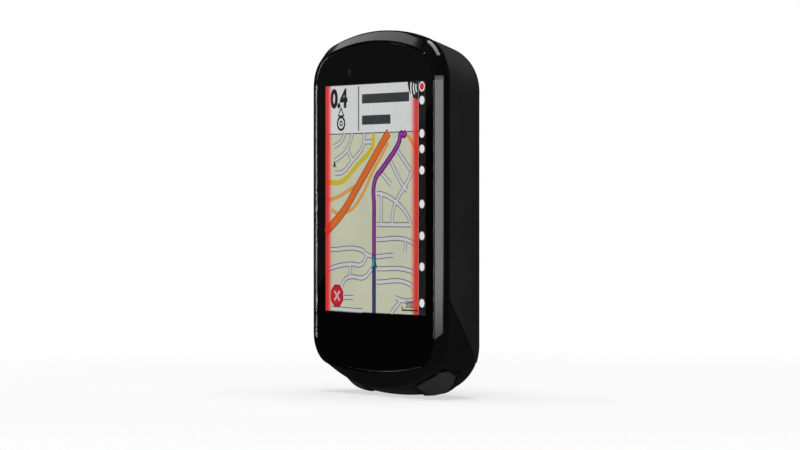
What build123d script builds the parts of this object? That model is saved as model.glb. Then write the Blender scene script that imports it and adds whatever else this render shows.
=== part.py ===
from build123d import *
from functools import cache
from math import atan2, cos, radians, sin, sqrt
from typing import NamedTuple
import os

# Handlebar cycling computer with a touch screen, held by a quarter-turn boss on its back.
#
# Frame: +Z runs up the long side of the screen, the screen looks along -Y, and +X is to the
# right of a person who looks at the screen. The origin is the centre of the boss's rear face.
# A depth below is a distance behind the front glass, so y = depth - TOTAL_DEPTH. Sizes are mm.

# ---- case -------------------------------------------------------------------------------
TOTAL_DEPTH = 20.0  # glass to the boss's rear face
BODY_DEPTH = 16.2  # glass to the back of the case
BEZEL_BACK = 2.9
BEZEL_RIDGE = 1.55  # depth where the bezel's slope meets its side wall
RIDGE_RADIUS = 1.1
SHELL_FRONT_DEPTH = 3.05
CREASE_DEPTH = 6.7  # depth where the case is widest behind the bezel
BACK_RADIUS = 8.3  # rounding of the case's back edge
WALL = 2.0  # case wall, soft skin included
SKIN = 0.6
SHELL_STEP = 0.12  # the bare shell lies this far under the skin's surface
GAP = 0.15  # around loose pieces
LAND = 0.35  # flat edge of the bezel beside the glass
LENS_GAP = 0.1
RIB_BACK = 4.0  # the bezel's locating rib inside the shell
RIB_THICK = 1.0

# soft skin, side view: front edge, front end of the slanted seam, its knee
SKIN_FRONT = 3.35
SEAM_FRONT_Z = -19.6
SEAM_KNEE = (12.4, -34.0)
SEAM_GAP = 0.15
SEAM_RADIUS = 2.4


class Outline(NamedTuple):
    """A rounded upright outline: straight sides, a crowned top and bottom, four corners."""

    half_width: float
    top: float
    top_crown: float
    top_corner: float
    bottom: float
    bottom_crown: float
    bottom_corner: float

    def inset(self, by):
        return Outline(
            self.half_width - by,
            self.top - by,
            self.top_crown - by,
            self.top_corner - by,
            self.bottom + by,
            self.bottom_crown - by,
            self.bottom_corner - by,
        )


BEZEL = Outline(25.0, 40.3, 65.0, 10.0, -40.2, 44.0, 10.0)
LENS = Outline(23.4, 37.6, 68.0, 7.0, -36.4, 98.0, 6.6)
SHELL_FRONT = BEZEL.inset(0.15)
SHELL_CHIN = Outline(24.42, 39.1, 64.0, 10.4, -41.7, 92.0, 11.8)
SHELL_BACK = Outline(22.3, 36.0, 62.0, 9.2, -42.75, 140.0, 9.8)
BOARD = Outline(20.6, 36.2, 60.0, 8.0, -35.2, 60.0, 9.0)

# ---- screen stack -----------------------------------------------------------------------
ACTIVE = (39.3, -23.1, 28.3)  # width, bottom and top of the lit area
PANEL = (41.6, -26.3, 29.3)
LENS_BACK = 1.1
LENS_CHAMFER = 0.15
BORDER_BACK = 1.2
WINDOW_MARGIN = 0.2
SENSOR_FRONT, SENSOR_BACK = 1.4, 1.6
LEDGE_FRONT = 1.5
PANEL_FRONT, PANEL_BACK = 1.65, 2.95
BACKLIGHT_BACK = 4.05
TRAY_FRONT, TRAY_BACK, TRAY_WALL = 3.05, 4.7, 0.35
FLEX_THICK = 0.15
LIGHT_SENSOR_XZ = (-10.1, 31.3)
LIGHT_SENSOR_RADIUS = 0.9

# ---- electronics ------------------------------------------------------------------------
BOARD_FRONT, BOARD_BACK = 5.2, 6.1
BOARD_SCREW_PLACES = ((4.5, 32.0), (18.2, -28.6))  # each is mirrored
CASE_SCREW_PLACES = ((15.5, 31.7), (8.0, -31.2))
BATTERY_WIDTH, BATTERY_HEIGHT, BATTERY_Z = 33.0, 46.0, 2.5
BATTERY_FRONT, BATTERY_BACK = 9.4, 13.2
PLATE_FRONT, PLATE_BACK = 13.4, BODY_DEPTH - WALL
SCREW_SEAT = 11.5
SCREW_BOSS_RADIUS = 2.7

# ---- quarter-turn boss ------------------------------------------------------------------
BOSS_RADIUS, WING_RADIUS, FLANGE_RADIUS = 12.6, 15.3, 16.4
FLANGE_FRONT = 15.0
WING_FRONT = 18.1
WING_HALF_ANGLE = 27.0
MOUNT_SCREW_CIRCLE = 8.4
MOUNT_SCREW_SEAT = 17.3

# ---- push buttons -----------------------------------------------------------------------
# Heights are measured along the press axis from the case's surface, outwards positive.
BOTTOM_DEPTH, SIDE_DEPTH = 6.9, 7.5
TRAVEL = 0.5
CAP_PROUD = 0.4
CAP_BOTTOM = -2.0
POCKET_FLOOR = CAP_BOTTOM - TRAVEL - 0.1
GUIDE_BOTTOM = -4.9
STEM_END = -5.9
CLIP_THICK = 0.4
PLUNGER_END = -6.8
SWITCH_TOP, SWITCH_BOTTOM = -6.4, -8.2
SWITCH_BORE_END = -7.5
SWITCH_LENGTH = 4.4
STEM_RADIUS, STEM_BORE = 1.1, 1.15
SEAL_RADIUS = 1.9
SEAL_TOP, SEAL_BOTTOM = -3.2, -4.2
PLUNGER_RADIUS, PLUNGER_BORE = 0.5, 0.58
COLLAR_WIDTH = 1.5
COLLAR_PROUD = 0.3
BOTTOM_PRESS_ANGLE = 20.0  # of the bottom buttons' press axis, from the case's long axis
BOTTOM_PLACE = (17.2, -39.25)
BOTTOM_CAP = (10.8, 3.9, 1.15)  # length, thickness, and how far it sits in front of the stem
BOTTOM_CORNER = 0.8
BOTTOM_FACET = (3.3, 36.0)  # where the facet on the cap's outer end starts, and its slope
SIDE_PLACE_Z = 17.0
SIDE_CAP = (9.0, 3.4)

# ---- charging socket and its cover ------------------------------------------------------
COVER_HALF_WIDTH = 8.6
COVER_FRONT = 4.6
COVER_THICK = 1.0
COVER_GAP = 0.12
HINGE_ANGLE = 14.0  # round the case's back edge, from the back face
HINGE_BEAD = 0.5
SOCKET_DEPTH = 7.5
SOCKET_MOUTH_Z, SOCKET_END_Z = -39.4, -33.4
SOCKET_SIZE = (7.8, 2.7)
SOCKET_WALL = 0.3
TUNNEL_SIZE = (8.1, 3.0)
SOCKET_COLLAR_SIZE, SOCKET_COLLAR_TOP = (11.2, 5.4), -36.6


# ---- building blocks --------------------------------------------------------------------
def y_of(depth):
    return depth - TOTAL_DEPTH


def corner_arc(half_width, end, crown, corner):
    """Crown end, middle and side end of a top right corner arc that is tangent to a crown."""
    crown_centre = end - crown
    x = half_width - corner
    z = crown_centre + sqrt((crown - corner) ** 2 - x**2)
    angle = atan2(z - crown_centre, x)
    tangent = (x + corner * cos(angle), z + corner * sin(angle))
    middle = (x + corner * cos(angle / 2), z + corner * sin(angle / 2))
    return tangent, middle, (half_width, z)


def outline_face(shape):
    """The outline as a face in (x, z)."""
    top = corner_arc(shape.half_width, shape.top, shape.top_crown, shape.top_corner)
    bottom = corner_arc(shape.half_width, -shape.bottom, shape.bottom_crown, shape.bottom_corner)
    bottom = [(x, -z) for x, z in bottom]
    edges = [Line(top[2], bottom[2]), Line(*[(-x, z) for x, z in (top[2], bottom[2])])]
    for (tangent, middle, side), crest in ((top, shape.top), (bottom, shape.bottom)):
        edges.append(ThreePointArc(tangent, (0, crest), (-tangent[0], tangent[1])))
        for sign in (1, -1):
            points = [(sign * x, z) for x, z in (tangent, middle, side)]
            edges.append(ThreePointArc(*points))
    return make_face(edges)


def at_depth(sketch, depth):
    """Puts an (x, z) sketch upright, at a depth behind the glass."""
    return Plane(origin=(0, y_of(depth), 0), x_dir=(1, 0, 0), z_dir=(0, -1, 0)) * sketch


def slab(sketch, front, back):
    return extrude(at_depth(sketch, back), amount=back - front, dir=(0, -1, 0))


def block(x, z, width, height, front, back, radius=0.0):
    """A box by its middle (x, z), width, height and depths, with rounded upright edges."""
    flat = RectangleRounded(width, height, radius) if radius else Rectangle(width, height)
    return slab(Pos(x, z) * flat, front, back)


def rod(x, z, radius, front, back):
    return slab(Pos(x, z) * Circle(radius), front, back)


def screen_block(size, front, back, grow=0.0, radius=0.6):
    """A rounded box on a screen area given as width, bottom and top."""
    width, bottom, top = size
    middle = (bottom + top) / 2
    return block(0, middle, width + 2 * grow, top - bottom + 2 * grow, front, back, radius)


def ring_of(shape, outer, inner, front, back):
    """A band that follows an outline, between two insets."""
    band = outline_face(shape.inset(outer)) - outline_face(shape.inset(inner))
    return slab(band, front, back)


def side_face(points, radius=0.0):
    """A face in the side view, from (depth, z) corners, as local (y, z)."""
    flat = Polygon(*[(y_of(depth), z) for depth, z in points], align=None)
    return fillet(flat.vertices(), radius) if radius else flat


def side_prism(flat, low_x, high_x):
    across = Plane(origin=(low_x, 0, 0), x_dir=(0, 1, 0), z_dir=(1, 0, 0))
    return extrude(across * flat, amount=high_x - low_x, dir=(1, 0, 0))


def upright(size, depth, low_z, high_z, radius):
    """A rounded bar along Z by its section (x size, depth size) and its two ends."""
    flat = Pos(0, y_of(depth), low_z) * RectangleRounded(*size, radius)
    return extrude(flat, amount=high_z - low_z)


def mirrored(places):
    return [(sign * x, z) for x, z in places for sign in (1, -1)]


def group(solids):
    """Separate solids of one node."""
    return Compound(children=[solid for item in solids for solid in item.solids()])


@cache
def case(inset):
    """The closed form of the case behind the bezel, its surface moved in by inset."""
    back = BODY_DEPTH - inset
    share = (back - CREASE_DEPTH) / (BODY_DEPTH - CREASE_DEPTH)
    last = Outline(*[a + (b - a) * share for a, b in zip(SHELL_CHIN, SHELL_BACK)])
    sections = [
        at_depth(outline_face(SHELL_FRONT.inset(inset)), SHELL_FRONT_DEPTH),
        at_depth(outline_face(SHELL_CHIN.inset(inset)), CREASE_DEPTH),
        at_depth(outline_face(last.inset(inset)), back),
    ]
    solid = loft(sections, ruled=True)
    rim = solid.faces().sort_by(Axis.Y)[-1].edges()
    return fillet(rim, BACK_RADIUS - inset)


# ---- glass and screen -------------------------------------------------------------------
def front_glass():
    glass = slab(outline_face(LENS), 0, LENS_BACK)
    return chamfer(glass.faces().sort_by(Axis.Y)[0].edges(), LENS_CHAMFER)


def printed_border():
    film = slab(outline_face(LENS.inset(0.3)), LENS_BACK, BORDER_BACK)
    film -= screen_block(ACTIVE, 0, 5, WINDOW_MARGIN, 0.3)
    return film - rod(*LIGHT_SENSOR_XZ, LIGHT_SENSOR_RADIUS, 0, 5)


def lens_gasket():
    pad = slab(outline_face(LENS.inset(0.3)), BORDER_BACK, LEDGE_FRONT)
    pad -= screen_block(PANEL, 0, 5, 0.3)
    return pad - rod(*LIGHT_SENSOR_XZ, LIGHT_SENSOR_RADIUS + 0.3, 0, 5)


def touch_sensor():
    return screen_block(PANEL, SENSOR_FRONT, SENSOR_BACK, -0.1)


def display_panel():
    return screen_block(PANEL, PANEL_FRONT, PANEL_BACK)


def backlight():
    return screen_block(PANEL, PANEL_BACK, BACKLIGHT_BACK, -0.2)


def display_tray():
    tray = screen_block(PANEL, TRAY_FRONT, TRAY_BACK, 0.1 + TRAY_WALL, 0.9)
    return tray - screen_block(PANEL, 0, BACKLIGHT_BACK + 0.05, 0.1)


def folded_flex(start_depth, start_z, tail_z, low_x, high_x):
    """A ribbon that leaves the screen's edge, folds over it and lies on the board's front."""
    end_depth = BOARD_FRONT - FLEX_THICK / 2
    outwards = 1 if start_z > 0 else -1
    turn_z = start_z + outwards * 0.5
    radius = (end_depth - start_depth) / 2
    start, end = y_of(start_depth), y_of(end_depth)
    path = [
        Line((start, start_z), (start, turn_z)),
        ThreePointArc((start, turn_z), ((start + end) / 2, turn_z + outwards * radius), (end, turn_z)),
        Line((end, turn_z), (end, tail_z)),
    ]
    return side_prism(trace(path, line_width=FLEX_THICK), low_x, high_x)


def display_flex():
    return folded_flex(PANEL_BACK - 0.2, PANEL[1], -20.0, -8.0, 8.0)


def touch_flex():
    return folded_flex(LEDGE_FRONT + FLEX_THICK / 2, PANEL[2] - 0.1, 25.0, 6.6, 12.4)


def light_sensor():
    return rod(*LIGHT_SENSOR_XZ, LIGHT_SENSOR_RADIUS - 0.05, BORDER_BACK + 0.1, LEDGE_FRONT + 0.9)


# ---- bezel ------------------------------------------------------------------------------
def front_bezel():
    slope = [
        at_depth(outline_face(LENS.inset(-LENS_GAP - LAND)), 0),
        at_depth(outline_face(BEZEL), BEZEL_RIDGE),
        at_depth(outline_face(BEZEL), BEZEL_BACK),
    ]
    body = loft(slope, ruled=True)
    ridge = [edge for edge in body.edges() if abs(edge.center().Y - y_of(BEZEL_RIDGE)) < 0.01]
    body = fillet([edge for edge in ridge if edge.bounding_box().size.Y < 0.01], RIDGE_RADIUS)
    body += case(WALL + GAP) & block(0, 0, 60, 100, SHELL_FRONT_DEPTH, RIB_BACK)
    body += slab(outline_face(SHELL_FRONT.inset(WALL + GAP)), BEZEL_BACK, SHELL_FRONT_DEPTH)
    body -= slab(outline_face(SHELL_FRONT.inset(WALL + GAP + RIB_THICK)), BEZEL_BACK, RIB_BACK + 1)
    body -= slab(outline_face(LENS.inset(-LENS_GAP)), 0, LEDGE_FRONT)
    for x, z in mirrored(CASE_SCREW_PLACES):
        body += rod(x, z, 1.9, LEDGE_FRONT, BOARD_FRONT)
        body -= rod(x, z, 0.8, LEDGE_FRONT + 1.2, BOARD_FRONT)
    for x, z in mirrored(BOARD_SCREW_PLACES):
        body += rod(x, z, 1.5, LEDGE_FRONT, BOARD_FRONT)
        body -= rod(x, z, 0.6, LEDGE_FRONT + 1.2, BOARD_FRONT)
    for name in ("start", "lap"):
        body -= BUTTONS[name].pill(GUIDE_BOTTOM - 0.2, 5, 0.9 + GAP) & block(0, 0, 60, 100, SHELL_FRONT_DEPTH, RIB_BACK + 1)
    body -= screen_block(PANEL, 0, BEZEL_BACK + 1, 0.15)
    body -= block(0, PANEL[1] - 1.2, 16.6, 2.6, LEDGE_FRONT + 0.7, RIB_BACK)
    body -= block(9.5, PANEL[2] + 1.0, 6.4, 3.4, LEDGE_FRONT - 0.5, RIB_BACK)
    return body - rod(*LIGHT_SENSOR_XZ, LIGHT_SENSOR_RADIUS + 0.1, 0, LEDGE_FRONT + 1.0)


def case_seal():
    return ring_of(BEZEL, 1.0, 1.7, BEZEL_BACK, BEZEL_BACK + 0.6)


# ---- push buttons -----------------------------------------------------------------------
class Button(NamedTuple):
    """A push button: where its axis leaves the case, the cap's length, thickness and corner
    radius, how far the cap sits in front of the axis, and the facet on one end of it."""

    place: Plane
    length: float
    thick: float
    corner: float
    forward: float = 0.0
    facet: tuple = (0, 0)

    def pill(self, low, high, grow=0.0):
        """A layer of the cap's outline, grown all round, between two heights."""
        size = (self.length + 2 * grow, self.thick + 2 * grow)
        flat = Pos(0, self.forward) * RectangleRounded(*size, self.corner + grow)
        return extrude(self.place.offset(low) * flat, amount=high - low)

    def bar(self, low, high, width, thick):
        return extrude(self.place.offset(low) * Rectangle(width, thick), amount=high - low)

    def shaft(self, low, high, radius):
        return extrude(self.place.offset(low) * Circle(radius), amount=high - low)

    def cap(self):
        cap = self.pill(CAP_BOTTOM, 4) & case(-CAP_PROUD)
        start, slope = self.facet
        if not slope:
            return cap
        facet = self.place * Pos(start, 0) * Rot(0, slope, 0) * Rectangle(40, 20)
        return cap & extrude(facet, amount=-12)

    def stem(self):
        return self.shaft(STEM_END, CAP_BOTTOM, STEM_RADIUS)

    def clip(self):
        top = GUIDE_BOTTOM - 0.05
        washer = self.shaft(top - CLIP_THICK, top, SEAL_RADIUS)
        return washer - self.shaft(top - CLIP_THICK, top, STEM_RADIUS)

    def plunger(self):
        return self.shaft(PLUNGER_END, STEM_END, PLUNGER_RADIUS)

    def switch(self):
        thick = 2 * (y_of(BOARD_BACK) - self.place.origin.Y)
        body = self.bar(SWITCH_BOTTOM, SWITCH_TOP, SWITCH_LENGTH, abs(thick))
        return body - self.shaft(SWITCH_BORE_END, SWITCH_TOP, PLUNGER_BORE)

    def seal(self):
        ring = self.shaft(SEAL_BOTTOM, SEAL_TOP, SEAL_RADIUS - 0.02)
        return ring - self.shaft(SEAL_BOTTOM, SEAL_TOP, STEM_RADIUS + 0.03)

    def guide(self):
        """What the rear shell gains: the block behind the pocket, and the collar round it."""
        inner = self.pill(GUIDE_BOTTOM, -0.9, 0.9) + self.shaft(GUIDE_BOTTOM, -2, SEAL_RADIUS + 0.6)
        collar = self.pill(-1.5, 4, COLLAR_WIDTH) & case(-COLLAR_PROUD)
        return inner, collar

    def cuts(self):
        """What the rear shell loses: pocket, stem bore and seal groove."""
        return [
            self.pill(POCKET_FLOOR, 5, GAP),
            self.shaft(GUIDE_BOTTOM - 1, 0, STEM_BORE),
            self.shaft(SEAL_BOTTOM - 0.02, SEAL_TOP + 0.02, SEAL_RADIUS),
        ]

    def board_notch(self):
        return self.bar(SWITCH_TOP, 5, self.length + 2.6, 20)


def side_x(depth):
    """Half width of the case at a depth behind the crease and in front of the back edge."""
    share = (depth - CREASE_DEPTH) / (BODY_DEPTH - CREASE_DEPTH)
    return SHELL_CHIN.half_width + (SHELL_BACK.half_width - SHELL_CHIN.half_width) * share


def bottom_button(sign):
    angle = radians(BOTTOM_PRESS_ANGLE)
    x, z = BOTTOM_PLACE
    along = (cos(angle), 0, sign * sin(angle))
    outwards = (sign * sin(angle), 0, -cos(angle))
    place = Plane(origin=(sign * x, y_of(BOTTOM_DEPTH), z), x_dir=along, z_dir=outwards)
    length, thick, forward = BOTTOM_CAP
    facet = tuple(sign * value for value in BOTTOM_FACET)
    return Button(place, length, thick, BOTTOM_CORNER, forward, facet)


def side_button():
    origin = (-side_x(SIDE_DEPTH), y_of(SIDE_DEPTH), SIDE_PLACE_Z)
    length, thick = SIDE_CAP
    return Button(Plane(origin=origin, x_dir=(0, 0, 1), z_dir=(-1, 0, 0)), length, thick, thick / 2 - 0.01)


BUTTONS = {"start": bottom_button(1), "lap": bottom_button(-1), "power": side_button()}


# ---- charging socket and its rubber cover -----------------------------------------------
def back_edge_centre():
    """(depth, z) of the middle of the rounding between chin and back, at x = 0."""
    depth = BODY_DEPTH - BACK_RADIUS
    slope = (SHELL_BACK.bottom - SHELL_CHIN.bottom) / (BODY_DEPTH - CREASE_DEPTH)
    floor = SHELL_CHIN.bottom + slope * (depth - CREASE_DEPTH)
    return depth, floor + BACK_RADIUS * sqrt(1 + slope**2)


def hinge_point():
    """(depth, z) of the cover's hinge, inside the strap."""
    depth, z = back_edge_centre()
    reach = BACK_RADIUS - SHELL_STEP - HINGE_BEAD - 0.1
    angle = radians(HINGE_ANGLE)
    return depth + reach * cos(angle), z - reach * sin(angle)


def hinge_bar(radius, half_width):
    depth, z = hinge_point()
    flat = Pos(y_of(depth), z) * Circle(radius)
    return side_prism(flat, -half_width, half_width)


def cover_wedge(front):
    """The side view of the cover: chin from its front edge, round the back edge to the hinge."""
    depth, z = back_edge_centre()
    angle = radians(HINGE_ANGLE)
    far = (depth + 20 * cos(angle), z - 20 * sin(angle))
    return side_face([(front, -50), (front, z), (depth, z), far, (far[0], -50)])


def usb_cover():
    wedge = side_prism(cover_wedge(COVER_FRONT), -COVER_HALF_WIDTH, COVER_HALF_WIDTH)
    cover = (case(SHELL_STEP) & wedge) - case(SHELL_STEP + COVER_THICK)
    cover += hinge_bar(HINGE_BEAD, COVER_HALF_WIDTH)
    return cover + upright((6.9, 1.9), SOCKET_DEPTH, -40.75, -39.75, 0.7)


def cover_cuts():
    """What the rear shell loses: the cover's bed, the bead's seat, its swing room, a nail notch."""
    half_width = COVER_HALF_WIDTH + COVER_GAP
    wedge = side_prism(cover_wedge(COVER_FRONT - COVER_GAP), -half_width, half_width)
    bed = (case(-1.0) & wedge) - case(SHELL_STEP + COVER_THICK + 0.1)
    depth, z = hinge_point()
    angle = radians(HINGE_ANGLE)
    outwards = Plane(origin=(0, y_of(depth), z), x_dir=(1, 0, 0), z_dir=(0, cos(angle), -sin(angle)))
    swing = extrude(outwards * Rectangle(2 * half_width, 1.5), amount=3)
    nail = case(-1.0) & block(0, -40, 6.4, 10, COVER_FRONT - 0.95, COVER_FRONT)
    nail -= case(SHELL_STEP + 0.8)
    return [bed, hinge_bar(HINGE_BEAD + GAP, half_width), swing, nail]


def usb_socket():
    width, thick = SOCKET_SIZE
    tube = upright(SOCKET_SIZE, SOCKET_DEPTH, SOCKET_MOUTH_Z, SOCKET_END_Z, 0.9)
    hollow = (width - 2 * SOCKET_WALL, thick - 2 * SOCKET_WALL)
    return tube - upright(hollow, SOCKET_DEPTH, SOCKET_MOUTH_Z, SOCKET_END_Z - SOCKET_WALL, 0.6)


def usb_tongue():
    return upright((5.8, 0.7), SOCKET_DEPTH, SOCKET_MOUTH_Z + 0.6, SOCKET_END_Z - SOCKET_WALL, 0.2)


# ---- case -------------------------------------------------------------------------------
def skin_region(grow=0.0):
    """The side view of the soft skin, as a prism across the case."""
    far = BODY_DEPTH + 6
    corners = [(SKIN_FRONT, 60), (SKIN_FRONT, SEAM_FRONT_Z), SEAM_KNEE, (far, SEAM_KNEE[1]), (far, 60)]
    flat = side_face(corners, SEAM_RADIUS)
    if grow:
        flat = offset(flat, amount=grow)
    return side_prism(flat, -40, 40)


def back_holes():
    """What shell and skin both lose at the back: screw wells and vent holes."""
    wells = [rod(x, z, 2.0, SCREW_SEAT, BODY_DEPTH + 1) for x, z in mirrored(CASE_SCREW_PLACES)]
    vents = [rod(x, -24.5, 0.5, PLATE_BACK - 1, BODY_DEPTH + 1) for x in (-2.2, 0, 2.2)]
    return wells + vents


def grip_skin():
    skin = (case(0) - case(SKIN)) & skin_region()
    skin -= rod(0, 0, FLANGE_RADIUS + 0.1, FLANGE_FRONT, BODY_DEPTH + 1)
    for hole in back_holes():
        skin -= hole
    return skin - BUTTONS["power"].pill(POCKET_FLOOR, 5, GAP + 0.1)


def rear_shell():
    shell = case(SKIN) + (case(SHELL_STEP) - skin_region(SEAM_GAP))
    for name in ("start", "lap"):
        shell += BUTTONS[name].guide()[1]
    shell -= case(WALL)
    inside = case(SKIN + 0.2)
    for button in BUTTONS.values():
        shell += button.guide()[0] & inside
    for x, z in mirrored(CASE_SCREW_PLACES):
        shell += rod(x, z, SCREW_BOSS_RADIUS, BOARD_FRONT + 0.1, BODY_DEPTH) & inside
    shell += upright(SOCKET_COLLAR_SIZE, SOCKET_DEPTH, -41, SOCKET_COLLAR_TOP, 1.2) & inside
    for button in BUTTONS.values():
        for cut in button.cuts():
            shell -= cut
    for cut in cover_cuts():
        shell -= cut
    shell -= upright(TUNNEL_SIZE, SOCKET_DEPTH, -45, SOCKET_END_Z, 1.0)
    shell -= rod(0, 0, FLANGE_RADIUS, FLANGE_FRONT, BODY_DEPTH + 1)
    for hole in back_holes():
        shell -= hole
    for x, z in mirrored(CASE_SCREW_PLACES):
        shell -= rod(x, z, 1.0, BOARD_FRONT, BODY_DEPTH)
    for x, z in mount_screw_places():
        shell -= rod(x, z, 1.0, PLATE_BACK - 1, BODY_DEPTH)
    return shell - ring_of(BEZEL, 0.95, 1.75, 0, BEZEL_BACK + 0.65)


def case_screws():
    screws = []
    for x, z in mirrored(CASE_SCREW_PLACES):
        head = rod(x, z, 1.75, SCREW_SEAT, SCREW_SEAT + 1.1)
        head -= slab(Pos(x, z) * RegularPolygon(0.75, 6), SCREW_SEAT + 0.5, SCREW_SEAT + 2)
        screws.append(head + rod(x, z, 0.8, LEDGE_FRONT + 1.4, SCREW_SEAT))
    return group(screws)


# ---- quarter-turn boss ------------------------------------------------------------------
def mount_screw_places():
    step = MOUNT_SCREW_CIRCLE / sqrt(2)
    return mirrored(((step, step), (step, -step)))


def quarter_turn_boss():
    boss = rod(0, 0, FLANGE_RADIUS - 0.1, FLANGE_FRONT, BODY_DEPTH)
    boss += rod(0, 0, BOSS_RADIUS, BODY_DEPTH, TOTAL_DEPTH)
    sector = radians(WING_HALF_ANGLE)
    reach = 2 * WING_RADIUS
    for sign in (1, -1):
        fan = [(0, 0), (-reach * sin(sector), sign * reach * cos(sector)), (reach * sin(sector), sign * reach * cos(sector))]
        wing = Circle(WING_RADIUS) & Polygon(*fan, align=None)
        boss += slab(wing, WING_FRONT, TOTAL_DEPTH)
        boss -= rod(0, sign * (WING_RADIUS + 0.5), 1.1, WING_FRONT - 0.5, TOTAL_DEPTH + 1)
    rim = [edge for edge in boss.edges() if edge.bounding_box().min.Y > -0.01]
    boss = chamfer(rim, 0.35)
    for x, z in mount_screw_places():
        boss -= rod(x, z, 1.65, MOUNT_SCREW_SEAT, TOTAL_DEPTH + 1)
        boss -= rod(x, z, 0.95, 0, TOTAL_DEPTH)
    return boss


def mount_plate():
    plate = rod(0, 0, 12.0, PLATE_FRONT, PLATE_BACK) - rod(0, 0, 5.0, 0, TOTAL_DEPTH)
    for x, z in mount_screw_places():
        plate -= rod(x, z, 0.85, 0, TOTAL_DEPTH)
    return plate


def mount_screws():
    screws = []
    for x, z in mount_screw_places():
        head = rod(x, z, 1.5, MOUNT_SCREW_SEAT, MOUNT_SCREW_SEAT + 1.1)
        head -= slab(Pos(x, z) * RegularPolygon(0.65, 6), MOUNT_SCREW_SEAT + 0.5, TOTAL_DEPTH)
        screws.append(head + rod(x, z, 0.85, PLATE_FRONT, MOUNT_SCREW_SEAT))
    return group(screws)


# ---- electronics ------------------------------------------------------------------------
def main_board():
    board = slab(outline_face(BOARD), BOARD_FRONT, BOARD_BACK)
    for x, z in mirrored(CASE_SCREW_PLACES):
        board -= rod(x, z, SCREW_BOSS_RADIUS + GAP, 0, TOTAL_DEPTH)
    for x, z in mirrored(BOARD_SCREW_PLACES):
        board -= rod(x, z, 0.75, 0, TOTAL_DEPTH)
    for button in BUTTONS.values():
        board -= button.board_notch()
    return board


def board_screws():
    screws = []
    for x, z in mirrored(BOARD_SCREW_PLACES):
        head = rod(x, z, 1.2, BOARD_BACK, BOARD_BACK + 0.8)
        screws.append(head + rod(x, z, 0.6, LEDGE_FRONT + 1.4, BOARD_BACK))
    return group(screws)


def on_board(x, z, width, height, tall, radius=0.3):
    return block(x, z, width, height, BOARD_BACK, BOARD_BACK + tall, radius)


def processor_shield():
    return on_board(-6.0, 4.0, 16.0, 15.0, 1.6)


def radio_shield():
    return on_board(9.5, 6.0, 11.5, 13.0, 1.6)


def board_chips():
    places = ((8.5, -7.5, 9.0, 8.0), (-8.0, -10.0, 6.0, 6.0), (4.0, 20.0, 5.0, 4.0), (-6.0, 19.0, 4.0, 4.0))
    return group([on_board(x, z, width, height, 0.9, 0.1) for x, z, width, height in places])


def wireless_antenna():
    return on_board(17.5, 20.0, 2.2, 7.0, 1.2, 0.2)


def antenna_carrier():
    arch = case(WALL + 0.5) - case(WALL + 2.3)
    return arch & block(0, 36, 22, 10, BOARD_BACK, 10.5)


def gps_antenna():
    foil = case(WALL + 0.3) - case(WALL + 0.5)
    return foil & block(0, 36, 20, 8, BOARD_BACK + 0.5, 10.0)


def battery_cell():
    cell = block(0, BATTERY_Z, BATTERY_WIDTH, BATTERY_HEIGHT, BATTERY_FRONT, BATTERY_BACK)
    return fillet(cell.edges().filter_by(Axis.Z), 1.2)


def battery_tape():
    return block(0, BATTERY_Z, 27, 40, BATTERY_BACK, PLATE_FRONT, 1.0)


def battery_circuit():
    low = BATTERY_Z - BATTERY_HEIGHT / 2
    return block(0, low - 1.6, 24, 3.0, 11.0, 11.8, 0.3)


def battery_lead():
    """Flat two-core lead, from the protection circuit to the plug on the board."""
    top = y_of(11.0)
    points = [(top, -22.0), (y_of(9.6), -22.0), (y_of(9.6), -24.5), (y_of(8.3), -24.5)]
    path = FilletPolyline(*points, radius=0.62)
    return side_prism(trace(path, line_width=0.9), -13.0, -10.6)


def battery_plug():
    return on_board(-11.8, -24.5, 5.0, 3.4, 2.2, 0.2)


def buzzer():
    return rod(10.0, 26.6, 3.5, BOARD_BACK, BOARD_BACK + 2.0)


def vent_membrane():
    return block(0, -24.5, 9.0, 3.4, PLATE_BACK - 0.2, PLATE_BACK, 0.6)


# ---- export -----------------------------------------------------------------------------
PIECES = [
    front_glass, printed_border, lens_gasket, touch_sensor, touch_flex, light_sensor,
    front_bezel, display_panel, backlight, display_tray, display_flex,
    main_board, board_screws, processor_shield, radio_shield, board_chips,
    wireless_antenna, antenna_carrier, gps_antenna,
    battery_cell, battery_tape, battery_circuit, battery_lead, battery_plug,
    buzzer, vent_membrane, case_seal, rear_shell, grip_skin, case_screws,
    quarter_turn_boss, mount_plate, mount_screws, usb_socket, usb_tongue, usb_cover,
]

os.makedirs("parts", exist_ok=True)
for piece in PIECES:
    export_step(piece(), f"parts/{piece.__name__}.step")
for name, button in BUTTONS.items():
    for piece in ("cap", "stem", "clip", "plunger", "seal", "switch"):
        export_step(getattr(button, piece)(), f"parts/{name}_{piece}.step")
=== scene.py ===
import math

import bmesh
import bpy
from mathutils import Matrix, Vector


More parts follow.
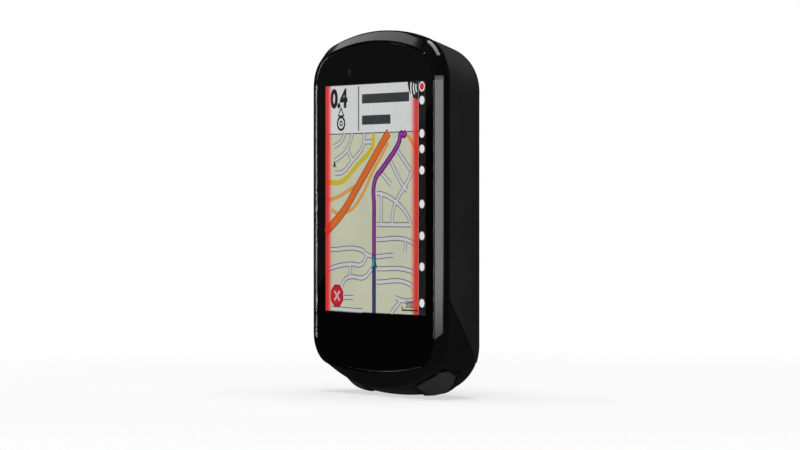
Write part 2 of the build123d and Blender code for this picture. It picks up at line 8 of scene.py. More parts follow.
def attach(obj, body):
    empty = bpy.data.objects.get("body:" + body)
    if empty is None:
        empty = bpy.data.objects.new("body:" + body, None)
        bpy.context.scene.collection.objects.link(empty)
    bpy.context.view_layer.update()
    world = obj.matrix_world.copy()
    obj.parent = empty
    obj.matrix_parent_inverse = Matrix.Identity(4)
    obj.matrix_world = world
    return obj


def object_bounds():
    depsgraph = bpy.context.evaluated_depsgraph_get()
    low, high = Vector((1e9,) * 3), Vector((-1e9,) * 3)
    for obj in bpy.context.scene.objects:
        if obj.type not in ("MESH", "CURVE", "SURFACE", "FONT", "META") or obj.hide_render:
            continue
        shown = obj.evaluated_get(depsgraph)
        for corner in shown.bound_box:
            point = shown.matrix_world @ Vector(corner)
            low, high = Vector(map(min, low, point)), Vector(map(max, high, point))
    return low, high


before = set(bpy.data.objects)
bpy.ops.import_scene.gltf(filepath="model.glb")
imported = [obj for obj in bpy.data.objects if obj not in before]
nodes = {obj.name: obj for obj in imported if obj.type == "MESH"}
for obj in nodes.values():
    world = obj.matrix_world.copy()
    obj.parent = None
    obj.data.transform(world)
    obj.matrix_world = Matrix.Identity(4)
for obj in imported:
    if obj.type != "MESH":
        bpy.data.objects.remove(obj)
cad_low, cad_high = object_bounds()

# ---- Studio ------------------------------------------------------------------------------
# A white sweep and a small disc of floor. Two tall softboxes beside the camera light the bezel's
# edge and the side wall, one high on the left its top, one overhead makes the contact shadow, a
# weak one fills the back, and dim cards on the left show their slanted edge in the glass.
MM = 0.001
GLASS_Y = cad_low.y
EYE_DISTANCE = 0.692  # from the middle of the glass
EYE_AZIMUTH = math.radians(55.3)
LENS_MM = 138.8
FRAME_SHIFT = (0.0344, -0.0189)  # the object sits a little left of the middle and high
FLOOR_RADIUS = 0.24
FLOOR_EVEN = 0.10  # radius within which the floor is solid, before it fades into the sweep
FLOOR_GLOW = 0.62  # share of the floor's white that no shadow darkens

eye = Vector((math.sin(EYE_AZIMUTH), -math.cos(EYE_AZIMUTH), 0)) * EYE_DISTANCE
eye.y += GLASS_Y
camera = bpy.data.objects.new("camera", bpy.data.cameras.new("camera"))
camera.data.lens = LENS_MM
camera.data.sensor_width = 36
camera.data.shift_x, camera.data.shift_y = FRAME_SHIFT
camera.data.clip_start = 0.01
camera.location = eye
camera.rotation_euler = (math.pi / 2, 0, EYE_AZIMUTH)
bpy.context.collection.objects.link(camera)
scene = bpy.context.scene
scene.camera = camera
scene.view_settings.view_transform = "Standard"


def linear(hex_colour):
    """An sRGB hex colour as linear red, green, blue and a full alpha."""
    parts = [int(hex_colour[i : i + 2], 16) / 255 for i in (1, 3, 5)]
    return *[p / 12.92 if p <= 0.04045 else ((p + 0.055) / 1.055) ** 2.4 for p in parts], 1


def add(tree, kind, inputs=None, **settings):
    """Adds a node with its settings, and feeds its inputs with values or other nodes' sockets."""
    node = tree.nodes.new(kind)
    for name, value in settings.items():
        setattr(node, name, value)
    for name, value in (inputs or {}).items():
        if isinstance(value, bpy.types.NodeSocket):
            tree.links.new(value, node.inputs[name])
        else:
            node.inputs[name].default_value = value
    return node


def blank(name):
    """A new material and its node tree, still empty."""
    material = bpy.data.materials.new(name)
    material.use_nodes = True
    material.node_tree.nodes.clear()
    return material, material.node_tree


def spans(value, source, target=(0, 1)):
    """The inputs that map a value from one range to another."""
    names = ("Value", "From Min", "From Max", "To Min", "To Max")
    return dict(zip(names, (value, *source, *target)))


def wave_scale(pitch):
    """The scale at which a wave texture repeats after a pitch in mm."""
    return 2 * math.pi / 20 / (pitch * MM)


def softbox(name, place, facing, width, height, radiance, edge=(0, 0, 1)):
    """An area light by its middle, the way it faces, its sides and its brightness."""
    light = bpy.data.lights.new(name, "AREA")
    light.shape = "RECTANGLE"
    light.size, light.size_y = width, height
    light.energy = radiance * math.pi * width * height
    back = -Vector(facing).normalized()
    up = (Vector(edge) - Vector(edge).dot(back) * back).normalized()
    turn = Matrix((up.cross(back), up, back)).transposed().to_4x4()
    lamp = bpy.data.objects.new(name, light)
    lamp.matrix_world = Matrix.Translation(place) @ turn
    lamp.visible_camera = False
    bpy.context.collection.objects.link(lamp)


def around(azimuth, elevation, distance):
    """A place seen from the object: azimuth 0 is in front of the screen, 90 on its right."""
    a, e = math.radians(azimuth), math.radians(elevation)
    return Vector((math.sin(a) * math.cos(e), -math.cos(a) * math.cos(e), math.sin(e))) * distance


for name, azimuth, elevation, distance, width, height, radiance in (
    ("edge_softbox", 44, 2, 0.9, 0.18, 1.1, 2.3),
    ("side_softbox", 66, 6, 0.9, 0.3, 0.9, 2.0),
    ("crown_softbox", -72, 33, 0.8, 0.4, 0.5, 1.1),
    ("overhead_softbox", 0, 90, 0.9, 0.8, 0.8, 4.6),
    ("back_softbox", 170, 30, 0.9, 0.5, 0.5, 0.5),
):
    place = around(azimuth, elevation, distance)
    softbox(name, place, -place, width, height, radiance, (0, 1, 0.01))

# the cards that the glass mirrors, as far in front of it as the camera is: they share one
# slanted edge, and each reaches further from it, so that the reflection fades upwards
slant = math.radians(42.6)
card_up = Vector((-math.sin(slant), 0, math.cos(slant)))
card_foot = Vector((-0.570, eye.y, 0.004))
for name, reach, radiance in (
    ("near_card", 0.045, 0.05),
    ("middle_card", 0.1, 0.05),
    ("far_card", 0.25, 0.02),
):
    softbox(name, card_foot + card_up * reach / 2, (0, 1, 0), 0.6, reach, radiance, card_up)

# the camera sees a white sweep, and the object's surfaces a dark room
world = bpy.data.worlds.new("studio")
world.use_nodes = True
world.node_tree.nodes.clear()
tree = world.node_tree
seen = add(tree, "ShaderNodeLightPath")
room = add(tree, "ShaderNodeBackground", {"Color": linear("#ffffff"), "Strength": 0.02})
sweep = add(tree, "ShaderNodeBackground", {"Color": linear("#ffffff"), "Strength": 1.0})
mixed = add(
    tree,
    "ShaderNodeMixShader",
    {0: seen.outputs["Is Camera Ray"], 1: room.outputs[0], 2: sweep.outputs[0]},
)
add(tree, "ShaderNodeOutputWorld", {"Surface": mixed.outputs[0]})
scene.world = world

floor_mesh = bpy.data.meshes.new("floor")
bm = bmesh.new()
bmesh.ops.create_circle(bm, cap_ends=True, segments=64, radius=FLOOR_RADIUS)
bmesh.ops.translate(bm, vec=(0, 0, cad_low.z), verts=bm.verts)
bm.to_mesh(floor_mesh)
bm.free()
floor = bpy.data.objects.new("floor", floor_mesh)
bpy.context.collection.objects.link(floor)
paper, tree = blank("white_paper")
coords = add(tree, "ShaderNodeTexCoord")
flat = add(
    tree,
    "ShaderNodeVectorMath",
    {0: coords.outputs["Object"], 1: (1, 1, 0)},
    operation="MULTIPLY",
)
reach = add(tree, "ShaderNodeVectorMath", {0: flat.outputs[0]}, operation="LENGTH")
fade = add(
    tree,
    "ShaderNodeMapRange",
    spans(reach.outputs["Value"], (FLOOR_EVEN, FLOOR_RADIUS - 0.01)),
    interpolation_type="SMOOTHSTEP",
)
sheet = add(tree, "ShaderNodeBsdfDiffuse", {"Color": linear("#f4f4f4")})
glow = add(tree, "ShaderNodeEmission", {"Color": linear("#ffffff"), "Strength": 1.0})
card = add(tree, "ShaderNodeMixShader", {0: FLOOR_GLOW, 1: sheet.outputs[0], 2: glow.outputs[0]})
clear = add(tree, "ShaderNodeBsdfTransparent")
surface = add(
    tree,
    "ShaderNodeMixShader",
    {0: fade.outputs[0], 1: card.outputs[0], 2: clear.outputs[0]},
)
add(tree, "ShaderNodeOutputMaterial", {"Surface": surface.outputs[0]})
floor.data.materials.append(paper)
floor.visible_glossy = False  # the gloss parts mirror a dark room and not the white floor

# ---- Front bezel -------------------------------------------------------------------------
# A ring of injection-moulded ABS/PC, polished black. A steel tool with a mirror finish gives
# the gloss, and wiping leaves faint hairlines that only show in the highlights.
BLOTCHES = 140  # blotches of wear per metre, on every surface
BLOTCH_RANGE = (0.3, 0.7)


def moulded(name, colour, roughness, spread, grain, height, ior=1.5, streak=(1, 1, 1)):
    """A moulded surface: blotches in colour, a spread of gloss, and grain of a size in mm."""
    material, tree = blank(name)
    coords = add(tree, "ShaderNodeTexCoord")
    place = coords.outputs["Object"]
    blotch = add(tree, "ShaderNodeTexNoise", {"Vector": place, "Scale": BLOTCHES, "Detail": 3})
    patchy = blotch.outputs["Fac"]
    tone = add(tree, "ShaderNodeMapRange", spans(patchy, BLOTCH_RANGE, (0.86, 1.14)))
    shade = add(
        tree,
        "ShaderNodeVectorMath",
        {0: linear(colour)[:3], "Scale": tone.outputs[0]},
        operation="SCALE",
    )
    worn = (roughness - spread, roughness + spread)
    gloss = add(tree, "ShaderNodeMapRange", spans(patchy, BLOTCH_RANGE, worn))
    stretched = add(tree, "ShaderNodeMapping", {"Vector": place, "Scale": streak})
    tool = add(
        tree,
        "ShaderNodeTexNoise",
        {"Vector": stretched.outputs[0], "Scale": 1 / (grain * MM), "Detail": 2},
    )
    bump = add(
        tree,
        "ShaderNodeBump",
        {"Height": tool.outputs["Fac"], "Strength": 1.0, "Distance": height * MM},
    )
    shader = add(
        tree,
        "ShaderNodeBsdfPrincipled",
        {
            "Base Color": shade.outputs[0],
            "Roughness": gloss.outputs[0],
            "Normal": bump.outputs[0],
            "IOR": ior,
        },
    )
    add(tree, "ShaderNodeOutputMaterial", {"Surface": shader.outputs[0]})
    return material


def dress(material, *names):
    """Gives the named pieces their material."""
    for name in names:
        for slot in nodes[name].material_slots:
            slot.material = material


piano_black = moulded("polished_black_abs", "#0b0b0c", 0.09, 0.02, 0.5, 0.0004, 1.52, (1, 1, 0.05))
dress(piano_black, "front_bezel")


# ---- Cover glass and printed border ------------------------------------------------------
# A 1.1 mm pane of strengthened glass with a ground edge, printed black on its back round the
# window. The ink gives the glass its deep black, and fingers leave a faint haze on its front.
SMEAR = 14  # mm across one smear
HAZE = 0.02  # roughness where a smear is thickest
glass, tree = blank("strengthened_glass")
coords = add(tree, "ShaderNodeTexCoord")
smear = add(
    tree,
    "ShaderNodeTexNoise",
    {"Vector": coords.outputs["Object"], "Scale": 1 / (SMEAR * MM), "Detail": 4},
)
haze = add(tree, "ShaderNodeMapRange", spans(smear.outputs["Fac"], (0.4, 0.75), (0, HAZE)))
shader = add(
    tree,
    "ShaderNodeBsdfPrincipled",
    {
        "Base Color": linear("#fafcfc"),
        "Roughness": haze.outputs[0],
        "IOR": 1.5,
        "Transmission Weight": 1.0,
    },
)
add(tree, "ShaderNodeOutputMaterial", {"Surface": shader.outputs[0]})
dress(glass, "front_glass")

ink = moulded("screen_printed_ink", "#050506", 0.4, 0.05, 0.05, 0.001)
dress(ink, "printed_border")

# ---- Gasket and tapes --------------------------------------------------------------------
# Black closed-cell foam with acrylic adhesive on both faces, die-cut from a roll. The open
# cells at its cut edge make it look dull and slightly pitted.
foam = moulded("closed_cell_foam", "#141414", 0.86, 0.05, 0.18, 0.03)
dress(foam, "lens_gasket", "battery_tape")

# ---- Touch sensor and light sensor -------------------------------------------------------
# The touch sensor is thin clear glass with a transparent metal-oxide grid, laminated behind
# the pane. The light sensor looks out through a smoked window in the ink.
OXIDE_PITCH = 4.2  # mm between the sensing rows
touch, tree = blank("oxide_coated_glass")
coords = add(tree, "ShaderNodeTexCoord")
rows = add(
    tree,
    "ShaderNodeTexWave",
    {"Vector": coords.outputs["Object"], "Scale": wave_scale(OXIDE_PITCH)},
    bands_direction="Z",
)
tint = add(tree, "ShaderNodeMapRange", spans(rows.outputs["Fac"], (0.48, 0.52), (0.9, 0.96)))
pane = add(
    tree,
    "ShaderNodeVectorMath",
    {0: linear("#f4faf2")[:3], "Scale": tint.outputs[0]},
    operation="SCALE",
)
shader = add(
    tree,
    "ShaderNodeBsdfPrincipled",
    {
        "Base Color": pane.outputs[0],
        "Roughness": 0.05,
        "IOR": 1.52,
        "Transmission Weight": 1.0,
    },
)
add(tree, "ShaderNodeOutputMaterial", {"Surface": shader.outputs[0]})
dress(touch, "touch_sensor")

smoked = moulded("smoked_polycarbonate", "#26262a", 0.2, 0.04, 0.3, 0.001, 1.58)
dress(smoked, "light_sensor")

# ---- Display panel, light guide and tray -------------------------------------------------
# A liquid-crystal panel of two bonded glasses in polariser film, a milky light guide behind
# it, and a stamped stainless tray whose rolled sheet shows fine parallel lines.
polariser = moulded("polariser_film", "#2c302e", 0.22, 0.03, 0.14, 0.0005, 1.5)
dress(polariser, "display_panel")

milky = moulded("milky_polycarbonate", "#dfe3e0", 0.35, 0.05, 0.4, 0.002, 1.58)
dress(milky, "backlight")


def metal(name, colour, roughness, spread, grain, height, streak=(1, 1, 1), weight=1.0):
    """A metal surface: worn gloss in blotches, and tool lines or grit of a size in mm."""
    material = moulded(name, colour, roughness, spread, grain, height, 1.5, streak)
    shader = next(n for n in material.node_tree.nodes if n.type == "BSDF_PRINCIPLED")
    shader.inputs["Metallic"].default_value = weight
    return material


rolled = metal("rolled_stainless", "#c9c8c4", 0.32, 0.08, 0.12, 0.003, (1, 1, 0.04))
dress(rolled, "display_tray", "processor_shield", "radio_shield", "buzzer", "mount_plate")

# ---- Flexible tails ----------------------------------------------------------------------
# Copper tracks between two polyimide films. The film is amber, and the tracks under it show
# as slightly raised darker lines.
TRACK_PITCH = 0.5  # mm
TRACK_HEIGHT = 0.02  # mm
tail, tree = blank("polyimide_flex")
coords = add(tree, "ShaderNodeTexCoord")
tracks = add(
    tree,
    "ShaderNodeTexWave",
    {"Vector": coords.outputs["Object"], "Scale": wave_scale(TRACK_PITCH)},
    bands_direction="X",
)
edge = add(tree, "ShaderNodeMapRange", spans(tracks.outputs["Fac"], (0.4, 0.6)))
blend = add(
    tree,
    "ShaderNodeMix",
    {0: edge.outputs[0], 6: linear("#a8641c"), 7: linear("#c98a34")},
    data_type="RGBA",
)
bump = add(tree, "ShaderNodeBump", {"Height": edge.outputs[0], "Distance": TRACK_HEIGHT * MM})
shader = add(
    tree,
    "ShaderNodeBsdfPrincipled",
    {
        "Base Color": blend.outputs[2],
        "Roughness": 0.3,
        "Normal": bump.outputs[0],
        "IOR": 1.6,
    },
)
add(tree, "ShaderNodeOutputMaterial", {"Surface": shader.outputs[0]})
dress(tail, "touch_flex", "display_flex")

# ---- Screen picture ----------------------------------------------------------------------
# What the liquid crystal shows while navigating: a turn banner over a street map, with a
# rear radar's strip on the right. Each colour is its own flat layer just under the glass,
# lit from behind, with the rows of cells and a slight cloudiness of the light guide.
CELL = 0.14  # mm between the rows of cells
CLOUDS = 80  # patches of uneven light per metre
FIRST_LAYER = 1.195  # depth in mm of the lowest layer under the front of the glass
LAYER_STEP = 0.006
WINDOW = (-19.65, 19.65, -23.1, 28.3)  # left, right, foot and head of the lit window, in mm
STRIP_X = 16.9  # left edge of the radar strip
BANNER_Z = 17.3  # foot of the turn banner
LIT = 0.99  # brightness of the backlight through the glass
FULL_TURN = 2 * math.pi


def lit(name, colour, cloud=0.04, rows=0.05):
    """Liquid crystal lit from behind in one colour."""
    material, tree = blank(name)
    coords = add(tree, "ShaderNodeTexCoord")
    place = coords.outputs["Object"]
    clouds = add(tree, "ShaderNodeTexNoise", {"Vector": place, "Scale": CLOUDS, "Detail": 2})
    cells = add(
        tree,
        "ShaderNodeTexWave",
        {"Vector": place, "Scale": wave_scale(CELL)},
        bands_direction="Z",
    )
    cloudy = (LIT * (1 - cloud), LIT * (1 + cloud))
    uneven = add(tree, "ShaderNodeMapRange", spans(clouds.outputs["Fac"], (0.3, 0.7), cloudy))
    lined = (1 - rows, 1 + rows)
    lines = add(tree, "ShaderNodeMapRange", spans(cells.outputs["Fac"], (0, 1), lined))
    strength = add(
        tree,
        "ShaderNodeMath",
        {0: uneven.outputs[0], 1: lines.outputs[0]},
        operation="MULTIPLY",
    )
    shader = add(
        tree,
        "ShaderNodeBsdfPrincipled",
        {
            "Base Color": linear("#020202"),
            "Roughness": 0.5,
            "Emission Color": linear(colour),
            "Emission Strength": strength.outputs[0],
        },
    )
    add(tree, "ShaderNodeOutputMaterial", {"Surface": shader.outputs[0]})
    return material


def under_glass(bm, name, layer, material):
    """Stands a flat drawing up behind the glass at its layer and fixes it in the case."""
    bmesh.ops.remove_doubles(bm, verts=bm.verts, dist=0.001)
    bmesh.ops.rotate(bm, verts=bm.verts, matrix=Matrix.Rotation(math.pi / 2, 3, "X"))
    bmesh.ops.translate(bm, verts=bm.verts, vec=(0, FIRST_LAYER - LAYER_STEP * layer, 0))
    bmesh.ops.scale(bm, verts=bm.verts, vec=(MM, MM, MM))
    bmesh.ops.translate(bm, verts=bm.verts, vec=(0, GLASS_Y, 0))
    for face in bm.faces:
        if face.normal.y > 0:
            face.normal_flip()
    mesh = bpy.data.meshes.new(name)
    bm.to_mesh(mesh)
    bm.free()
    mesh.materials.append(material)
    piece = bpy.data.objects.new(name, mesh)
    bpy.context.collection.objects.link(piece)
    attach(piece, "case")


def patch(bm, *corners):
    """A flat area by its corners."""
    points = [bm.verts.new((x, z, 0)) for x, z in corners]
    bmesh.ops.contextual_create(bm, geom=points)


def rectangle(bm, left, right, foot, head):
    """A flat area with upright sides."""
    patch(bm, (left, foot), (right, foot), (right, head), (left, head))


def spot(bm, x, z, radius, segments=32, turn=0):
    """A round or many-sided flat area."""
    place = Matrix.Translation((x, z, 0)) @ Matrix.Rotation(turn, 4, "Z")
    bmesh.ops.create_circle(bm, cap_ends=True, segments=segments, radius=radius, matrix=place)


def hoop(bm, x, z, radius, width, start=0, sweep=FULL_TURN, segments=32):
    """A flat ring or part of one, by its middle radius, starting at an angle from +X."""
    ends = []
    for reach in (radius - width / 2, radius + width / 2):
        ends.append(bm.verts.new((x + reach * math.cos(start), z + reach * math.sin(start), 0)))
    bmesh.ops.spin(
        bm,
        geom=[*ends, bm.edges.new(ends)],
        cent=(x, z, 0),
        axis=(0, 0, 1),
        angle=sweep,
        steps=segments,
        use_merge=sweep == FULL_TURN,
    )


def ribbon(bm, width, *paths):
    """Flat strips of one width that follow smooth lines through points."""
    line = bpy.data.curves.new("strip", "CURVE")
    line.dimensions = "3D"
    line.twist_mode = "Z_UP"
    line.extrude = width / 2
    line.resolution_u = 6
    for path in paths:
        spline = line.splines.new("BEZIER")
        spline.bezier_points.add(len(path) - 1)
        for knot, (x, z) in zip(spline.bezier_points, path):
            knot.co = (x, z, 0)
            knot.handle_left_type = knot.handle_right_type = "AUTO"
            knot.tilt = math.pi / 2
    strip = bpy.data.objects.new("strip", line)
    bm.from_mesh(bpy.data.meshes.new_from_object(strip))
    bpy.data.objects.remove(strip)


def figures(bm, text, x, z, height, weight=0.0, squeeze=1.0):
    """Plain digits by the left end of their foot and their height."""
    font = bpy.data.curves.new("figures", "FONT")
    font.body = text
    font.size = height / 0.72
    font.offset = weight
    digits = bpy.data.objects.new("figures", font)
    mesh = bpy.data.meshes.new_from_object(digits)
    mesh.transform(Matrix.Translation((x, z, 0)) @ Matrix.Diagonal((squeeze, 1, 1, 1)))
    bm.from_mesh(mesh)
    bpy.data.objects.remove(digits)


def drawn(name, layer, material, draw, *arguments):
    """A layer that one call of one of these drawing functions fills."""
    bm = bmesh.new()
    draw(bm, *arguments)
    under_glass(bm, name, layer, material)


# the map's ground, with the lighter banner above it and the dark radar strip beside it
left, right, foot, head = WINDOW
drawn("map_ground", 0, lit("lit_sand", "#c9c9b1"), rectangle, left, STRIP_X, foot, BANNER_Z)
drawn("turn_banner", 0, lit("lit_pale_grey", "#dadada"), rectangle, left, STRIP_X, BANNER_Z, head)
unlit = lit("unlit_black", "#0b090a", 0.2, 0.2)
drawn("radar_strip", 1, unlit, rectangle, STRIP_X, right, foot, head)
dark_grey = lit("lit_dark_grey", "#4a4a4a")
drawn("banner_line", 2, dark_grey, rectangle, left, STRIP_X, BANNER_Z - 0.12, BANNER_Z + 0.12)

# streets: a darker casing under a pale fill, so that they join where they meet
STREETS = (
    ((-17.9, -9.1), (-5, -9.1), (-3, -10.1), (7.2, -10.1)),
    ((-19.6, -13.9), (-15.3, -12.9), (-9.7, -12.3), (-4.7, -12.1), (-3, -10.1)),
    ((-13.2, -17.3), (-11.9, -15.9), (-9.7, -15.2), (-4.1, -15.2), (-1, -13.2)),
    ((-9.9, -12.3), (-9.7, -15.2)),
    ((-12.2, -19.9), (-8.6, -19.9)),
    ((-17.1, -22.6), (-5, -22.8)),
    ((0.8, -3.3), (14, -3.3)),
    ((0.8, -6.7), (11.5, -6.5), (15.9, -7.6)),
    ((12, -7), (11.8, -9.2)),
    ((0.8, -13.2), (13.4, -13.4), (16.9, -14.5)),
    ((0.8, -16.2), (12.8, -16.2), (15, -17.3), (15.9, -19.2), (14, -20), (10.3, -20), (8.1, -19.5)),
    ((10.3, -20), (6.5, -23)),
    ((1, 3.7), (2.8, 3.6), (9, 1.4), (12.8, -1.3), (14, -3.3)),
    ((2.6, 3.4), (2.6, -2.9)),
    ((6.8, -2.9), (7, -0.7), (9, 2.5), (12.1, 5.6), (14.7, 8.7)),
    ((5.9, 11.2), (11.5, 5), (12.8, 4.3)),
    ((9, 13.1), (14, 8.7)),
    ((2.5, 8.4), (6.4, 5.6)),
    ((-16, 11.2), (-11, 13.7), (-8.8, BANNER_Z)),
    ((-16, 8.4), (-12.9, 8.6), (-8.8, 11.2), (-4.4, 14.7), (-4.1, BANNER_Z)),
    ((-11, 13.7), (-8.8, 11.2)),
    ((-16.3, 14.4), (-13.5, 15.6), (-11.9, BANNER_Z)),
    ((-4.1, 15.3), (-1, 15.3)),
)
drawn("street_casings", 2, lit("lit_street_edge", "#66666e"), ribbon, 1.15, *STREETS)
drawn("street_fills", 3, lit("lit_street", "#c9c9cb"), ribbon, 0.75, *STREETS)

# through roads, from the thin tan ones up to the wide highway
drawn(
    "slip_roads",
    4,
    lit("lit_tan", "#d89a48"),
    ribbon,
    0.9,
    ((-19.65, 2.1), (-15.3, 2.8), (-11.6, 4.0), (-7.9, 5.3)),
    (
        (-17.2, 0), (-15.3, -0.7), (-11, -0.4), (-8.8, 0.3), (-6.6, 1.8), (-4.1, 4.3),
        (-1.6, 7.5), (0.3, 9.7), (2.8, 12.2), (5.3, 15),
    ),
    ((12.8, 16.6), (15.9, 13.4), (STRIP_X, 12.3)),
)
drawn(
    "main_road",
    5,
    lit("lit_yellow", "#c8b420"),
    ribbon,
    1.2,
    (
        (-19.65, 6.4), (-13.2, 6.4), (-11.3, 7.2), (-6.6, 10.3), (-1.6, 13.4), (-0.5, 14.9),
        (-0.5, BANNER_Z),
    ),
)
HIGHWAY = ((-19.65, -5.1), (-12.9, -0.7), (-6.6, 5.3), (-0.4, 11.5), (3.4, 15.3), (5.6, BANNER_Z))
drawn("highway_casing", 6, lit("lit_brown", "#8a4a18"), ribbon, 2.2, HIGHWAY)
drawn("highway", 7, lit("lit_orange", "#d8661e"), ribbon, 1.7, HIGHWAY)

# the route: a dark edge, a purple band and a lighter middle, then what is already ridden
ROUTE = (
    (12.3, BANNER_Z), (11.5, 16.6), (10.3, 16.9), (9.7, 15.3), (7.8, 13.1), (5.9, 11.5),
    (2.8, 9.0), (0.8, 7.5), (-0.2, 5.6), (-0.4, 3.7), (-0.2, 1.8), (-0.2, -4), (-0.2, -10),
)
RIDDEN = ((-0.2, -10), (-0.2, -17), (-0.2, foot))
for name, width, layer, colour_name, colour, paths in (
    ("route_edge", 1.5, 8, "lit_dark_purple", "#4a0a58", (ROUTE, RIDDEN)),
    ("route_band", 0.9, 9, "lit_purple", "#7a1a80", (ROUTE,)),
    ("route_middle", 0.3, 10, "lit_violet", "#a040a8", (ROUTE,)),
    ("ridden_band", 0.6, 9, "lit_deep_blue", "#104070", (RIDDEN,)),
):
    drawn(name, layer, lit(colour_name, colour), ribbon, width, *paths)

# the rider's place, an arrow with a light and a dark half, and the mark that points north
TIP, NOTCH = (-0.1, -9.7), (-0.1, -12.5)
for name, wing, colour_name, colour in (
    ("place_arrow_left", (-1.3, -13.2), "lit_teal", "#3a90a0"),
    ("place_arrow_right", (1.1, -13.2), "lit_dark_teal", "#104860"),
):
    drawn(name, 10, lit(colour_name, colour), patch, TIP, wing, NOTCH)
NORTH = ((-16, 11.4), (-16.7, 9.6), (-16, 10.0), (-15.3, 9.6))
drawn("north_mark", 10, lit("lit_black", "#101010"), patch, *NORTH)

# the stop control and the scale bar in the lower corners
STOP_X, STOP_Z = -15, -19.6
for name, radius, layer, colour_name, colour in (
    ("stop_rim", 2.75, 8, "lit_dark_red", "#8c0c18"),
    ("stop_face", 2.4, 9, "lit_red", "#c81428"),
):
    drawn(name, layer, lit(colour_name, colour), spot, STOP_X, STOP_Z, radius, 8, math.pi / 8)
ARM = 1.1  # half the width of the cross
CROSS = [
    ((STOP_X - ARM, STOP_Z - side * ARM), (STOP_X + ARM, STOP_Z + side * ARM)) for side in (1, -1)
]
drawn("stop_cross", 10, lit("lit_light_grey", "#c8b0b0"), ribbon, 0.55, *CROSS)
bm = bmesh.new()
ribbon(bm, 0.35, ((10.6, -22.2), (STRIP_X - 0.1, -22.2)), ((10.75, -21.4), (10.75, -22.3)))
figures(bm, "300", 12.0, -21.7, 1.7, 0.02, 0.9)
under_glass(bm, "scale_bar", 12, lit("lit_ink", "#181818"))

# the banner: the distance, the roundabout arrow, and two bars where a street's name stands
bold_black = lit("lit_bold_black", "#0c0c0c")
drawn("distance_figures", 3, bold_black, figures, "0.4", -17.6, 23.5, 4.0, 0.3, 0.98)
TURN_X, TURN_Z = -13.4, 19.7  # the roundabout's middle
bm = bmesh.new()
hoop(bm, TURN_X, TURN_Z, 1.45, 0.55)
rectangle(bm, TURN_X - 0.25, TURN_X + 0.25, 20.9, 22.0)
patch(bm, (TURN_X, 23.5), (TURN_X - 1.4, 21.3), (TURN_X + 1.4, 21.3))
hoop(bm, TURN_X, TURN_Z, 0.5, 0.35, segments=16)
under_glass(bm, "turn_arrow", 3, lit("lit_arrow_black", "#1c1c1c"))
HEAD = ((TURN_X, 22.8), (TURN_X - 0.8, 21.6), (TURN_X + 0.8, 21.6))
drawn("turn_arrow_head", 4, lit("lit_arrow_white", "#e4e4e4"), patch, *HEAD)
drawn("banner_divider", 3, lit("lit_mid_grey", "#6c6c6c"), rectangle, -6.6, -6.1, 17.9, 27.9)
bm = bmesh.new()
rectangle(bm, -5.0, 13.4, 24.0, 26.1)
rectangle(bm, -5.0, 6.2, 19.2, 21.3)
under_glass(bm, "name_bars", 3, lit("lit_slate", "#34343a"))

# the radar strip: vehicles as pale dots, the nearest one red in a white ring, and its waves
DOT_X, ALERT_Z = 18.3, 27.1
DOT = 0.95  # radius of a vehicle's dot
CORNER = 4.0  # radius of the strip's rounded corner round the alert
bm = bmesh.new()
arc = [math.radians(180 + 10 * step) for step in range(10)]
rounding = [(STRIP_X + CORNER * math.cos(t), head + CORNER * math.sin(t)) for t in arc]
patch(bm, (STRIP_X, head), *rounding)
under_glass(bm, "radar_corner", 12, lit("unlit_corner", "#0b090a", 0.2, 0.2))
bm = bmesh.new()
for z in (24.1, 16.8, 13.4, 8.7, 1.3, -5.7, -12.5, -20.5):
    spot(bm, DOT_X, z, DOT)
hoop(bm, DOT_X, ALERT_Z, DOT, 0.3)
for radius in (2.3, 3.2, 4.2):
    hoop(bm, DOT_X, ALERT_Z, radius, 0.4, math.radians(165), math.radians(45), 12)
under_glass(bm, "radar_dots", 13, lit("lit_white", "#f0eaea"))
drawn("radar_alert", 12, lit("lit_signal_red", "#e0202a"), spot, DOT_X, ALERT_Z, 0.85)

# the warning glow down both sides, strongest at the edge and fading over the map
GLOW = 0.95  # how much of the map the glow covers at the edge
for name, edge_x, inner_x in (("glow_left", left, -16.6), ("glow_right", STRIP_X, 13.6)):
    glow, tree = blank("lit_" + name)
    coords = add(tree, "ShaderNodeTexCoord")
    axes = add(tree, "ShaderNodeSeparateXYZ", {0: coords.outputs["Object"]})
    full_x = edge_x * 0.7 + inner_x * 0.3
    fade = add(
        tree,
        "ShaderNodeMapRange",
        spans(axes.outputs["X"], (inner_x * MM, full_x * MM), (0, GLOW)),
        interpolation_type="SMOOTHSTEP",
    )
    cells = add(
        tree,
        "ShaderNodeTexWave",
        {"Vector": coords.outputs["Object"], "Scale": wave_scale(CELL)},
        bands_direction="Z",
    )
    lines = spans(cells.outputs["Fac"], (0, 1), (LIT * 0.95, LIT * 1.05))
    power = add(tree, "ShaderNodeMapRange", lines)
    red_light = {"Color": linear("#e01c1c"), "Strength": power.outputs[0]}
    red = add(tree, "ShaderNodeEmission", red_light)
    clear = add(tree, "ShaderNodeBsdfTransparent")
    veil = add(
        tree,
        "ShaderNodeMixShader",
        {0: fade.outputs[0], 1: clear.outputs[0], 2: red.outputs[0]},
    )
    add(tree, "ShaderNodeOutputMaterial", {"Surface": veil.outputs[0]})
    drawn(name, 11, glow, rectangle, *sorted((edge_x, inner_x)), foot, head)

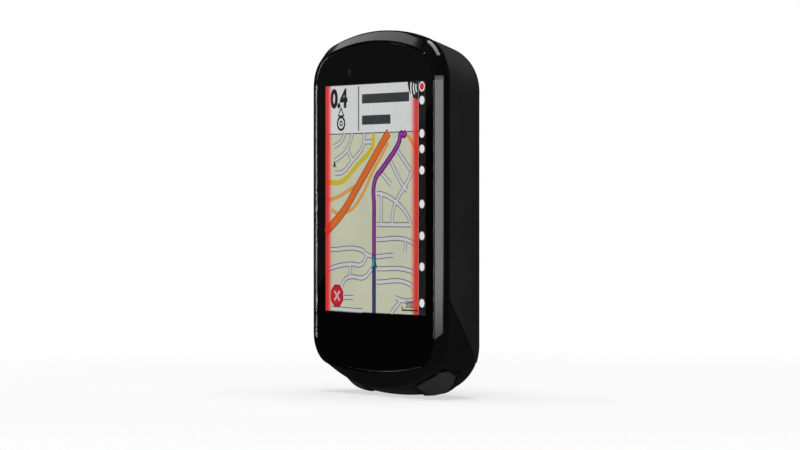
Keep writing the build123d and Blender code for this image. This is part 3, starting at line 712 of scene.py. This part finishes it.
# ---- Circuit boards, chips and aerials ---------------------------------------------------
# Glass-epoxy laminate under a dark solder mask, with black epoxy packages on it. The glass
# cloth shows as a faint weave, and moulding grit leaves the packages dull.
WEAVE = 0.5  # mm between the cloth's yarns
WEAVE_HEIGHT = 0.005  # mm
board, tree = blank("glass_epoxy_board")
coords = add(tree, "ShaderNodeTexCoord")
weave = {"Vector": coords.outputs["Object"], "Scale": wave_scale(WEAVE)}
warp = add(tree, "ShaderNodeTexWave", weave, bands_direction="X")
weft = add(tree, "ShaderNodeTexWave", weave, bands_direction="Z")
cloth = add(
    tree,
    "ShaderNodeMath",
    {0: warp.outputs["Fac"], 1: weft.outputs["Fac"]},
    operation="MULTIPLY",
)
shade = add(
    tree,
    "ShaderNodeMix",
    {0: cloth.outputs[0], 6: linear("#0c3a22"), 7: linear("#15512f")},
    data_type="RGBA",
)
bump = add(tree, "ShaderNodeBump", {"Height": cloth.outputs[0], "Distance": WEAVE_HEIGHT * MM})
shader = add(
    tree,
    "ShaderNodeBsdfPrincipled",
    {
        "Base Color": shade.outputs[2],
        "Roughness": 0.35,
        "Normal": bump.outputs[0],
        "IOR": 1.55,
    },
)
add(tree, "ShaderNodeOutputMaterial", {"Surface": shader.outputs[0]})
dress(board, "main_board", "battery_circuit")

epoxy = moulded("epoxy_package", "#1a1a1c", 0.6, 0.05, 0.08, 0.006, 1.55)
dress(epoxy, "board_chips", "wireless_antenna")

natural_pbt = moulded("natural_polyester", "#cfc8b4", 0.45, 0.05, 0.3, 0.003, 1.55)
dress(
    natural_pbt,
    "antenna_carrier",
    "battery_plug",
    "usb_tongue",
    "start_plunger",
    "lap_plunger",
    "power_plunger",
)

gold = metal("gold_flashed_foil", "#e3b660", 0.28, 0.08, 0.8, 0.02)
dress(gold, "gps_antenna")

# ---- Battery -----------------------------------------------------------------------------
# A lithium-polymer cell in aluminium laminate, heat-sealed round its edge. The foil is
# slightly creased, so its silver breaks up into soft facets. Its leads are silicone rubber.
laminate = metal("aluminium_laminate", "#c4c6c8", 0.34, 0.06, 3.0, 0.15, (1, 1, 1), 0.85)
dress(laminate, "battery_cell")

jacket = moulded("silicone_lead", "#a01c1c", 0.42, 0.05, 0.3, 0.003, 1.41)
dress(jacket, "battery_lead")

# ---- Rear shell --------------------------------------------------------------------------
# The tub that holds it all, glass-filled ABS/PC from a spark-eroded tool. The fine erosion
# pattern turns its shine to satin, and handling has polished it a little in patches.
satin = moulded("satin_black_abs", "#0f0f10", 0.3, 0.05, 0.22, 0.004, 1.52)
dress(satin, "rear_shell")

# ---- Grip skin ---------------------------------------------------------------------------
# Thermoplastic rubber moulded over the shell's sides and back. It drinks the light, and its
# fine grain shows only where the light grazes it.
rubber = moulded("overmoulded_rubber", "#19191b", 0.58, 0.05, 0.28, 0.012, 1.5)
dress(rubber, "grip_skin")

# ---- Quarter-turn boss, its plate and the screws -----------------------------------------
# The boss is glass-filled nylon, whose fibres bloom at the surface as a faint grey mottle.
# The screws are steel with a black oxide, whose shine is uneven from the tool and from oil.
nylon = moulded("glass_filled_nylon", "#1c1c1e", 0.5, 0.07, 0.5, 0.01, 1.53, (1, 1, 0.3))
dress(nylon, "quarter_turn_boss")

oxide = metal("black_oxide_steel", "#3a3a3c", 0.38, 0.08, 0.1, 0.003, (1, 1, 1), 0.9)
dress(oxide, "board_screws", "case_screws", "mount_screws")

# ---- Membranes and seals -----------------------------------------------------------------
# A stretched fluoropolymer film over the vents lets air pass and stops water. The seals are
# silicone rings, with the slightly uneven shine of a soft part that is pressed in a mould.
membrane = moulded("vent_film", "#e4e4e0", 0.7, 0.05, 0.1, 0.004, 1.35)
dress(membrane, "vent_membrane")

silicone = moulded("silicone_seal", "#3a3c40", 0.45, 0.06, 0.4, 0.004, 1.41)
dress(silicone, "case_seal", "start_seal", "lap_seal", "power_seal")

# ---- Buttons -----------------------------------------------------------------------------
# A rubber cap over a turned steel stem with a spring clip, which presses a sealed switch.
# The cap is a shade lighter than the shell and dull, with an uneven polish from fingers.
cap = moulded("button_rubber", "#2b2b2d", 0.5, 0.06, 0.25, 0.006, 1.5)
dress(cap, "start_cap", "lap_cap", "power_cap")

turned = metal("turned_steel", "#b8b6b0", 0.26, 0.06, 0.08, 0.002)
dress(turned, "start_stem", "lap_stem", "power_stem", "start_clip", "lap_clip", "power_clip")

switch = moulded("switch_nylon", "#2a2826", 0.5, 0.05, 0.2, 0.004, 1.53)
dress(switch, "start_switch", "lap_switch", "power_switch")

# ---- Charging socket and its cover -------------------------------------------------------
# A drawn and nickel-plated steel socket with a plastic tongue, under a flap of soft rubber
# that swings down. The flap is close to the skin's colour, with a finer grain.
nickel = metal("nickel_plated_steel", "#b4b0a6", 0.22, 0.06, 0.15, 0.002, (1, 0.05, 1))
dress(nickel, "usb_socket")

flap = moulded("cover_rubber", "#1c1c1e", 0.54, 0.05, 0.22, 0.006, 1.5)
dress(flap, "usb_cover")
